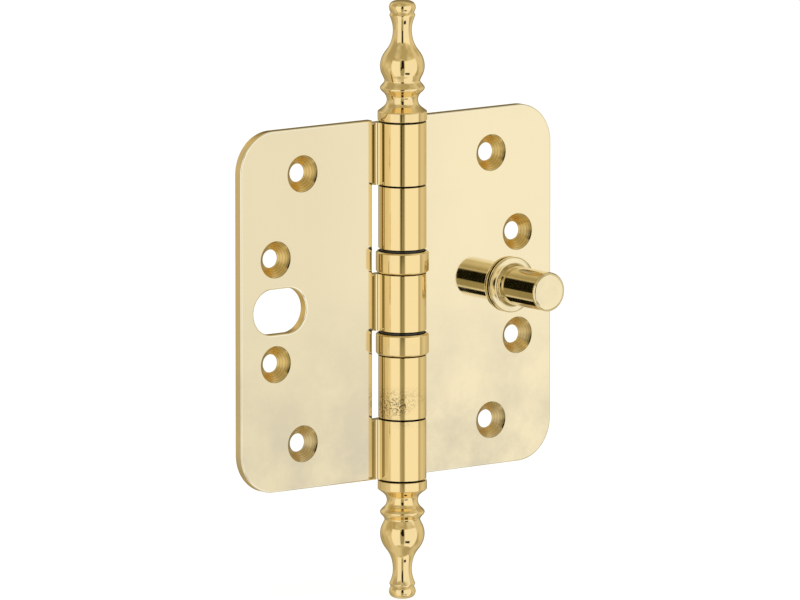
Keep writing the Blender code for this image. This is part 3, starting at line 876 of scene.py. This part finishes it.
def floor():
    """A white floor that just meets the lower finial."""
    deselect_everything()
    bpy.ops.mesh.primitive_plane_add(size=FLOOR_SIZE, location=(0, 0, cad_bounds[0][2]))
    ground = bpy.context.object
    ground.name = "studio_floor"
    material, _, shader = new_material("white_floor")
    shader.inputs["Base Color"].default_value = FLOOR_GREY
    shader.inputs["Roughness"].default_value = 1
    shader.inputs["Specular IOR Level"].default_value = 0
    shader.inputs["Emission Color"].default_value = (1, 1, 1, 1)
    shader.inputs["Emission Strength"].default_value = FLOOR_GLOW
    ground.data.materials.append(material)
    ground.visible_glossy = False


FLAG_AZIMUTH = math.radians(-43)
FLAG_WIDTH = 34 * MM
FLAG_DISTANCE = 350 * MM
FLAG_LOW = -110 * MM
FLAG_HIGH = 60 * MM
FLAG_TONES = [(0.0, (0.55, 0.50, 0.38)), (0.2, (0.42, 0.38, 0.28)), (0.38, (0.16, 0.15, 0.08)),
              (0.5, (0.02, 0.02, 0.01)), (1.0, (0.01, 0.01, 0.005))]


def barrel_flag():
    """An upright card that only the metal sees; its tones run from its lower edge to its upper edge."""
    deselect_everything()
    centre = heading(FLAG_AZIMUTH, 0) * FLAG_DISTANCE + UP * (FLAG_LOW + FLAG_HIGH) / 2
    bpy.ops.mesh.primitive_plane_add(size=1, location=centre, rotation=(QUARTER, 0, FLAG_AZIMUTH))
    card = bpy.context.object
    card.name = "barrel_flag"
    card.scale = (FLAG_WIDTH, FLAG_HIGH - FLAG_LOW, 1)
    material, tree, shader = new_material("barrel_flag")
    shader.inputs["Base Color"].default_value = (0, 0, 0, 1)
    shader.inputs["Specular IOR Level"].default_value = 0
    up_the_card = spread(tree, object_place(tree)[2], -0.5, 0.5)
    tree.links.new(ramp(tree, up_the_card, FLAG_TONES), shader.inputs["Emission Color"])
    shader.inputs["Emission Strength"].default_value = 1
    card.data.materials.append(material)
    card.visible_camera = False
    card.visible_shadow = False
    card.visible_diffuse = False


ROOM = (0.80, 0.74, 0.58)
ROOM_SHADE = (0.50, 0.44, 0.29)
CAMERA_SIDE = (0.42, 0.38, 0.24)
PANEL_WHITE = (1.08, 1.06, 1.02)
FAR_WALL = (0.26, 0.22, 0.12)
BLACK = (0.01, 0.01, 0.005)

# Each is (first azimuth, last azimuth, lowest, highest, softness of its edges) in degrees, and its colour;
# a later one lies over an earlier one.
SURROUNDINGS = [
    ((-49, -25, -50, 28, 3), CAMERA_SIDE),
    ((-95, -49, -55, 28, 3), PANEL_WHITE),
    ((-25, 46, -60, 30, 3), PANEL_WHITE),
    ((-42, -28, -8, 33, 1.5), BLACK),
    ((-20, 8, -44, -33, 2), BLACK),
    ((112, 170, -30, 40, 12), FAR_WALL),
]


def studio_air():
    """A warm room with white panels in front, dark cards between them and a darker far wall."""
    world = bpy.data.worlds.new("studio")
    bpy.context.scene.world = world
    world.use_nodes = True
    tree = world.node_tree
    direction = tree.nodes.new("ShaderNodeTexCoord").outputs["Generated"]
    apart = tree.nodes.new("ShaderNodeSeparateXYZ")
    tree.links.new(direction, apart.inputs["Vector"])
    azimuth = maths(tree, "ARCTAN2", apart.outputs["X"], times(tree, apart.outputs["Y"], -1.0))
    elevation = maths(tree, "ARCSINE", apart.outputs["Z"])

    clutter = spread(tree, noise(tree, direction, scale=1.3, detail=1), 0.38, 0.62)
    tone = mix_colours(tree, clutter, ROOM_SHADE, ROOM)
    for degrees, colour in SURROUNDINGS:
        first, last, lowest, highest, soft = (math.radians(angle) for angle in degrees)
        area = times(tree, between(tree, azimuth, first, last, soft),
                     between(tree, elevation, lowest, highest, soft))
        tone = mix_colours(tree, area, tone, colour)
    tree.links.new(tone, tree.nodes["Background"].inputs["Color"])
    tree.nodes["Background"].inputs["Strength"].default_value = 1


TOP_BOX_AZIMUTH = math.radians(-10)
TOP_BOX_ELEVATION = math.radians(68)
TOP_BOX_DISTANCE = 1.8
TOP_BOX_SIZE = 0.7
TOP_BOX_WATTS = 6


def top_box():
    """A square soft light above, aimed at the hinge."""
    data = bpy.data.lights.new("top_box", "AREA")
    data.shape = "SQUARE"
    data.size = TOP_BOX_SIZE
    data.energy = TOP_BOX_WATTS
    lamp = bpy.data.objects.new("top_box", data)
    lamp.location = heading(TOP_BOX_AZIMUTH, TOP_BOX_ELEVATION) * TOP_BOX_DISTANCE
    lamp.visible_glossy = False
    lamp.rotation_euler = (-lamp.location).to_track_quat("-Z", "Y").to_euler()
    bpy.context.scene.collection.objects.link(lamp)


def studio():
    bpy.context.scene.view_settings.view_transform = "Standard"
    studio_air()
    floor()
    barrel_flag()
    top_box()


# ---------------------------------------------------------------- assembly

def fit(piece, node, body, material):
    piece.data.materials.clear()
    piece.data.materials.append(material)
    polish(piece)
    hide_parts(node)
    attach(piece, body)


def main():
    camera()
    leaf_metal = polished_brass()
    lathe_metal = turned_brass()
    fit(frame_leaf(), "frame_leaf", "frame_side", leaf_metal)
    fit(door_leaf(), "door_leaf", "door_side", leaf_metal)
    fit(security_stud(), "security_stud", "door_side", stud_brass())
    top = turned("top_finial_brass", finial_profile(), (0, 0, TOP_SEAT), UP)
    bottom = turned("bottom_finial_brass", finial_profile(), (0, 0, BOTTOM_SEAT), -UP)
    fit(top, "top_finial", "frame_side", lathe_metal)
    fit(bottom, "bottom_finial", "frame_side", lathe_metal)
    upper = sleeve("bearing_1_sleeve_brass", upper_sleeve_low.z, upper_sleeve_high.z)
    lower = sleeve("bearing_2_sleeve_brass", lower_sleeve_low.z, lower_sleeve_high.z)
    fit(upper, "bearing_1_sleeve", "frame_side", lathe_metal)
    fit(lower, "bearing_2_sleeve", "door_side", lathe_metal)

    pin_steel = ground_steel("dark_pin_steel", DARK_PIN_STEEL, smoothest=0.3, roughest=0.5)
    bearing_steel = ground_steel("dark_bearing_steel", DARK_BEARING_STEEL, smoothest=0.25, roughest=0.45)
    for name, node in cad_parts.items():
        metal = pin_steel if name == "hinge_pin" else bearing_steel
        if name == "hinge_pin" or "race" in name or "_ball_" in name:
            for place in node.material_slots:
                place.material = metal
    studio()


main()
